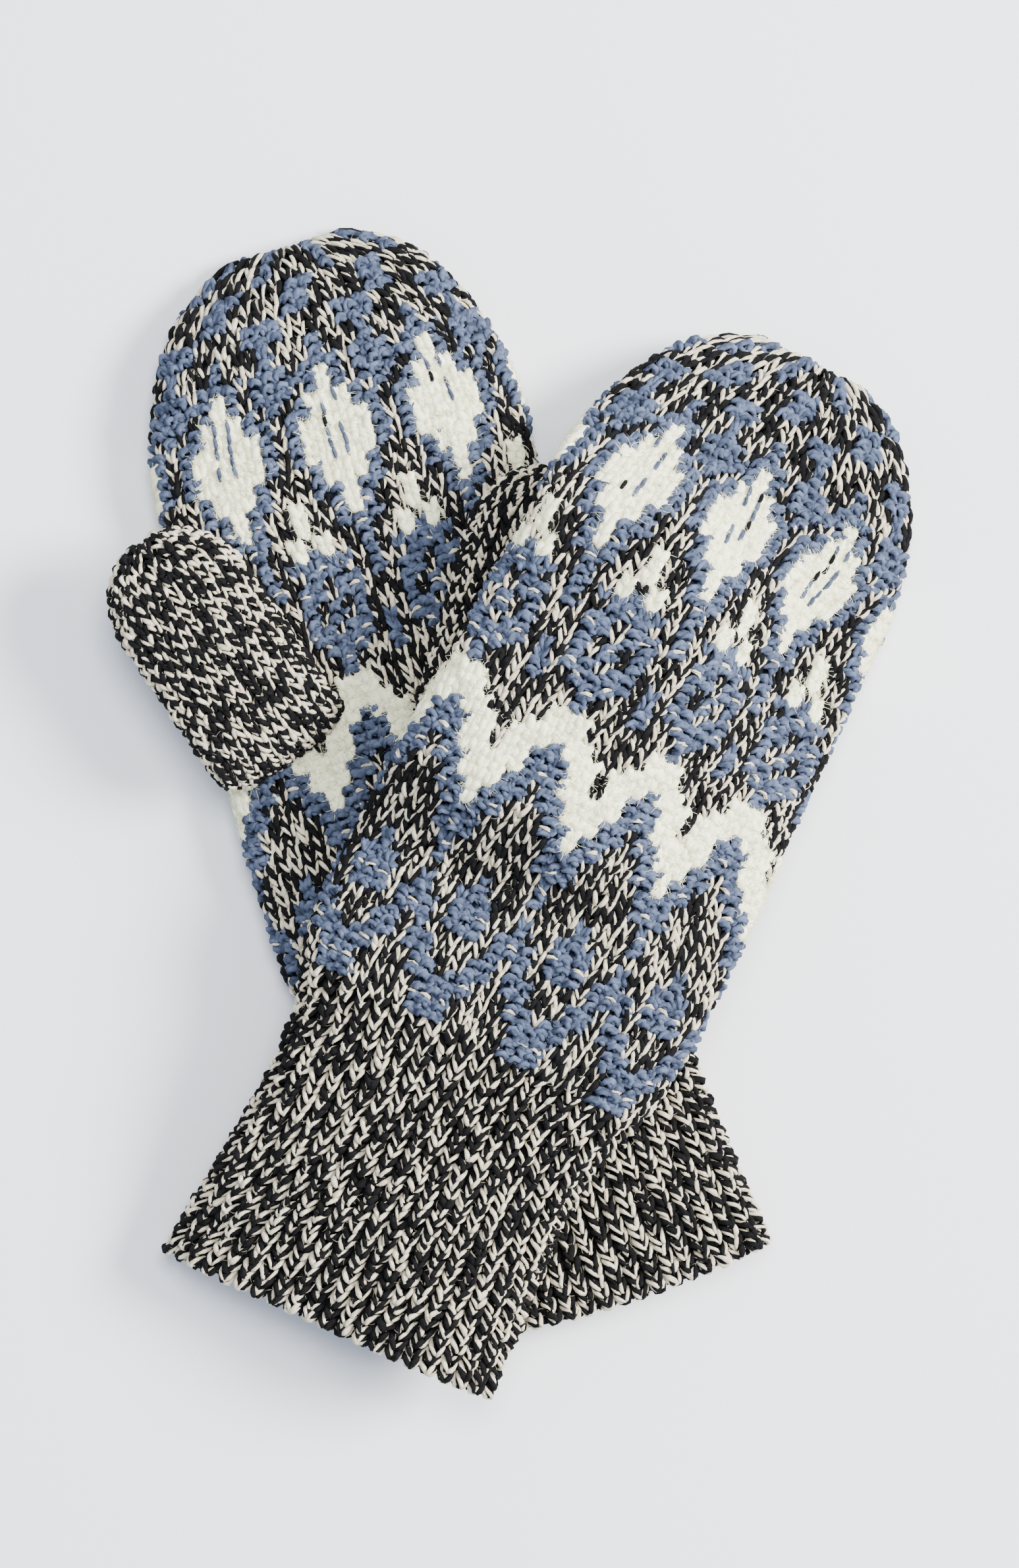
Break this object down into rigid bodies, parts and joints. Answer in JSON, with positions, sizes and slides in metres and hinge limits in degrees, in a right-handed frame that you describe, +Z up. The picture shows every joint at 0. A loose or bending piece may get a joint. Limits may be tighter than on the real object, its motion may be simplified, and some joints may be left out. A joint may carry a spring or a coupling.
{
  "type": "pair of knitted mittens",
  "caption": "Pair of colourwork wool mittens with ribbed cuffs and side thumbs, laid flat and crossed, one palm up and one back up.",
  "frame": {"origin": "middle of the pair's footprint, on the surface the lower mitten lies on", "axes": "+Y towards the fingertips along the pair's length, +X across it, +Z up off the surface"},
  "size_m": [0.209, 0.3018, 0.0541],
  "materials": {
    "marl_yarn": "two-ply marl wool, one cream and one black strand, matt",
    "blue_yarn": "soft grey-blue wool in raised purl stitches, matt",
    "white_yarn": "brushed off-white wool, fuzzy and nearly felted"
  },
  "bodies": {
    "left_mitten_body": {"left_cuff_edge": "marl_yarn", "left_cuff": "marl_yarn", "left_scallop_band": "blue_yarn", "left_zigzag_band": "white_yarn", "left_hexagon_band": "blue_yarn", "left_leaf_band": "white_yarn"},
    "left_fingertip_end": {"left_crown": "marl_yarn", "left_crown_gather": "marl_yarn"},
    "left_thumb_end": {"left_thumb_gusset": "marl_yarn", "left_thumb": "marl_yarn", "left_thumb_gather": "marl_yarn"},
    "right_mitten_body": {"right_scallop_band": "blue_yarn", "right_zigzag_band": "white_yarn", "right_hexagon_band": "blue_yarn", "right_leaf_band": "white_yarn"},
    "right_cuff_end": {"right_cuff_edge": "marl_yarn", "right_cuff": "marl_yarn"},
    "right_fingertip_end": {"right_crown": "marl_yarn", "right_crown_gather": "marl_yarn"},
    "right_thumb_end": {"right_thumb_gusset": "marl_yarn", "right_thumb": "marl_yarn", "right_thumb_gather": "marl_yarn"}
  },
  "joints": [
    {"name": "right_mitten_lift", "type": "slide", "parent": "left_mitten_body", "child": "right_mitten_body", "axis": [0, 0, 1], "range_m": [0, 0.12]},
    {"name": "left_fingertip_fold", "type": "hinge", "parent": "left_mitten_body", "child": "left_fingertip_end", "pos_m": [-0.04517, 0.09994, 0.019], "axis": [0.9558, 0.294, 0], "range_deg": [0, 70]},
    {"name": "left_thumb_swing", "type": "hinge", "parent": "left_mitten_body", "child": "left_thumb_end", "pos_m": [-0.0585, 0.02155, 0.0198], "axis": [0, 0, 1], "range_deg": [-18, 30]},
    {"name": "right_cuff_fold", "type": "hinge", "parent": "right_mitten_body", "child": "right_cuff_end", "pos_m": [-0.00975, -0.05608, 0.038], "axis": [-0.8902, 0.4555, 0], "range_deg": [0, 45]},
    {"name": "right_fingertip_fold", "type": "hinge", "parent": "right_mitten_body", "child": "right_fingertip_end", "pos_m": [0.05742, 0.0758, 0.0368], "axis": [0.8527, -0.4363, -0.2873], "range_deg": [0, 45]},
    {"name": "right_thumb_swing", "type": "hinge", "parent": "right_mitten_body", "child": "right_thumb_end", "pos_m": [-0.00479, 0.02788, 0.0346], "axis": [0, 0, 1], "range_deg": [-6, 35]}
  ]
}
